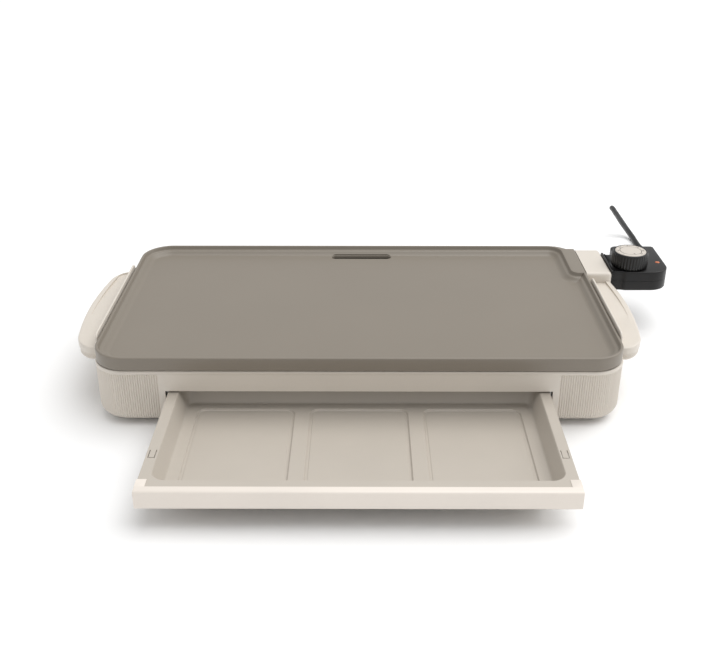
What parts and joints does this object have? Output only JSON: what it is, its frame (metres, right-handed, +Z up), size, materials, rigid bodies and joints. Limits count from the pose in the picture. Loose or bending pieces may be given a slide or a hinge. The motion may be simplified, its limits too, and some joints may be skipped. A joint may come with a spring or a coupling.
{
  "type": "electric griddle",
  "caption": "Free-standing electric griddle: lift-off non-stick plate on a cream base with wing handles, pull-out warming drawer, rear grease tray and plug-in dial probe with mains lead.",
  "frame": {"origin": "middle of the cooking surface, on its top face; the table that the feet stand on is at z = -0.077 m", "axes": "+X to the probe's end, along the long side; +Y to the back, away from the drawer; +Z up, out of the cooking surface"},
  "size_m": [0.781, 0.7816, 0.1055],
  "materials": {
    "cream_plastic": "satin moulded plastic",
    "tray_plastic": "satin moulded plastic",
    "floor_plastic": "plain moulded plastic",
    "zinc_steel": "zinc plated steel",
    "bright_sheet": "bright rolled sheet aluminium",
    "element_sheath": "heat-darkened sheath",
    "ceramic": "unglazed ceramic",
    "pin_metal": "nickel plated",
    "brass": "spring brass",
    "copper_strip": "bimetal",
    "pad_rubber": "silicone rubber",
    "nonstick_aluminium": "taupe non-stick coating on cast aluminium",
    "probe_black": "black heat-resistant plastic",
    "dial_cream": "cream printed disc",
    "lamp_glass": "neon lamp glass",
    "amber_lens": "translucent amber",
    "lead_black": "black flexible mains lead and its mouldings"
  },
  "bodies": {
    "base": {"base_shell": "cream_plastic", "base_floor": "floor_plastic", "left_handle_cap": "cream_plastic", "right_handle_cap": "cream_plastic", "socket_cover": "cream_plastic", "left_drawer_rail": "zinc_steel", "right_drawer_rail": "zinc_steel", "rail_screws": "zinc_steel", "grease_guides": "zinc_steel", "grease_chute": "zinc_steel", "heat_reflector": "bright_sheet", "element_brackets": "zinc_steel", "heating_element": "element_sheath", "terminal_block": "ceramic", "terminal_pins": "pin_metal", "plate_pads": "pad_rubber", "feet": "pad_rubber", "floor_screws": "zinc_steel", "reflector_screws": "zinc_steel", "cover_screws": "zinc_steel"},
    "plate": {"cooking_plate": "nonstick_aluminium"},
    "drawer": {"drawer_tray": "tray_plastic", "drawer_front": "cream_plastic", "drawer_screws": "zinc_steel"},
    "grease": {"grease_tray": "tray_plastic"},
    "probe": {"probe_lower_shell": "probe_black", "probe_upper_shell": "probe_black", "probe_flange": "probe_black", "contact_block": "ceramic", "contact_sleeves": "brass", "sensor_rod": "pin_metal", "thermostat_frame": "zinc_steel", "bimetal_strip": "copper_strip", "contact_arms": "brass", "contact_points": "pin_metal", "pilot_lamp": "lamp_glass", "lamp_lens": "amber_lens", "probe_screws": "zinc_steel", "strain_relief": "lead_black", "cord": "lead_black", "cord_coil": "lead_black", "cord_tail": "lead_black", "cord_tie": "lead_black", "plug_body": "lead_black", "plug_blades": "pin_metal"},
    "dial": {"knob": "probe_black", "dial_disc": "dial_cream", "knob_shaft": "pin_metal"}
  },
  "joints": [
    {"name": "plate_lift", "type": "slide", "parent": "base", "child": "plate", "axis": [0, 0, 1], "range_m": [0, 0.12]},
    {"name": "drawer_slide", "type": "slide", "parent": "base", "child": "drawer", "axis": [0, -1, 0], "range_m": [-0.1826, 0]},
    {"name": "grease_slide", "type": "slide", "parent": "base", "child": "grease", "axis": [0, 1, 0], "range_m": [0, 0.065]},
    {"name": "probe_unplug", "type": "slide", "parent": "base", "child": "probe", "axis": [1, 0, 0], "range_m": [0, 0.08]},
    {"name": "dial_turn", "type": "hinge", "parent": "probe", "child": "dial", "pos_m": [0.3551, 0.101, 0], "axis": [0, 0, 1], "range_deg": [-270, 0]}
  ]
}
